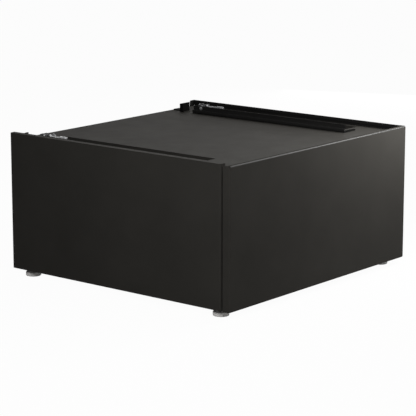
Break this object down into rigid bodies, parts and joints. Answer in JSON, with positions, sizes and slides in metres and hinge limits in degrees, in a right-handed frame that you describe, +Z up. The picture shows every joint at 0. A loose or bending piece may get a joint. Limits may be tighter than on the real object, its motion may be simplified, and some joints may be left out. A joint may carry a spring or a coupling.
{
  "type": "washer pedestal drawer",
  "caption": "Black steel laundry pedestal with a deep pull-out drawer, adjustable feet, and a rear stop rail and clips on its deck that hold the washer.",
  "frame": {"origin": "on the floor, under the middle of the pedestal's width and depth", "axes": "+X to the right seen from the front, +Y from the drawer front to the rear, +Z up"},
  "size_m": [0.686, 0.707, 0.3613],
  "materials": {
    "black_enamel": "satin black powder coat with a fine grain",
    "dark_enamel": "matte black coating",
    "zinc": "bright zinc plating",
    "galvanised": "dull galvanised sheet",
    "white_nylon": "moulded light grey plastic",
    "black_rubber": "matte rubber"
  },
  "bodies": {
    "cabinet": {"right_side_skin": "black_enamel", "right_inner_wall": "dark_enamel", "left_side_panel": "black_enamel", "rear_panel": "dark_enamel", "deck": "black_enamel", "front_top_rail": "galvanised", "rear_top_rail": "galvanised", "front_bottom_rail": "galvanised", "rear_bottom_rail": "galvanised", "foot_bracket_front_left": "galvanised", "foot_bracket_front_right": "galvanised", "foot_bracket_rear_left": "galvanised", "foot_bracket_rear_right": "galvanised", "foot_lock_nut_front_left": "zinc", "foot_lock_nut_front_right": "zinc", "foot_lock_nut_rear_left": "zinc", "foot_lock_nut_rear_right": "zinc", "left_slide_bracket": "galvanised", "left_slide_outer": "zinc", "right_slide_outer": "zinc", "rear_screw_lower_left": "zinc", "rear_screw_lower_right": "zinc", "rear_screw_upper_left": "zinc", "rear_screw_upper_right": "zinc", "rear_stop_rail": "dark_enamel", "rear_corner_stop": "dark_enamel", "front_locating_post": "dark_enamel", "clip_front_left": "zinc", "clip_rod_front_left": "zinc", "anchor_stud_front_left": "zinc", "clip_rear_left": "zinc", "clip_rod_rear_left": "zinc", "anchor_stud_rear_left": "zinc"},
    "drawer": {"drawer_front_skin": "black_enamel", "drawer_front_liner": "dark_enamel", "tub_left_side": "dark_enamel", "tub_right_side": "dark_enamel", "tub_floor": "dark_enamel", "tub_back": "dark_enamel", "left_slide_inner": "zinc", "right_slide_inner": "zinc", "front_screw_lower_left": "zinc", "front_screw_lower_right": "zinc", "front_screw_upper_left": "zinc", "front_screw_upper_right": "zinc", "drawer_bumper_lower_left": "black_rubber", "drawer_bumper_lower_right": "black_rubber", "drawer_bumper_upper_left": "black_rubber", "drawer_bumper_upper_right": "black_rubber"},
    "left_middle": {"left_slide_middle": "zinc"},
    "right_middle": {"right_slide_middle": "zinc"},
    "foot_front_left": {"foot_pad_front_left": "white_nylon", "foot_stud_front_left": "zinc"},
    "foot_front_right": {"foot_pad_front_right": "white_nylon", "foot_stud_front_right": "zinc"},
    "foot_rear_left": {"foot_pad_rear_left": "white_nylon", "foot_stud_rear_left": "zinc"},
    "foot_rear_right": {"foot_pad_rear_right": "white_nylon", "foot_stud_rear_right": "zinc"}
  },
  "joints": [
    {"name": "drawer_slide", "type": "slide", "parent": "cabinet", "child": "drawer", "axis": [0, -1, 0], "range_m": [0, 0.45]},
    {"name": "left_middle_slide", "type": "slide", "parent": "cabinet", "child": "left_middle", "axis": [0, -1, 0], "range_m": [0, 0.225]},
    {"name": "right_middle_slide", "type": "slide", "parent": "cabinet", "child": "right_middle", "axis": [0, -1, 0], "range_m": [0, 0.225]},
    {"name": "foot_height_front_left", "type": "slide", "parent": "cabinet", "child": "foot_front_left", "axis": [0, 0, -1], "range_m": [0, 0.012]},
    {"name": "foot_height_front_right", "type": "slide", "parent": "cabinet", "child": "foot_front_right", "axis": [0, 0, -1], "range_m": [0, 0.012]},
    {"name": "foot_height_rear_left", "type": "slide", "parent": "cabinet", "child": "foot_rear_left", "axis": [0, 0, -1], "range_m": [0, 0.012]},
    {"name": "foot_height_rear_right", "type": "slide", "parent": "cabinet", "child": "foot_rear_right", "axis": [0, 0, -1], "range_m": [0, 0.012]}
  ],
  "couplings": [
    {"joint": "left_middle_slide", "follows": "drawer_slide", "ratio": 0.5},
    {"joint": "right_middle_slide", "follows": "drawer_slide", "ratio": 0.5}
  ]
}
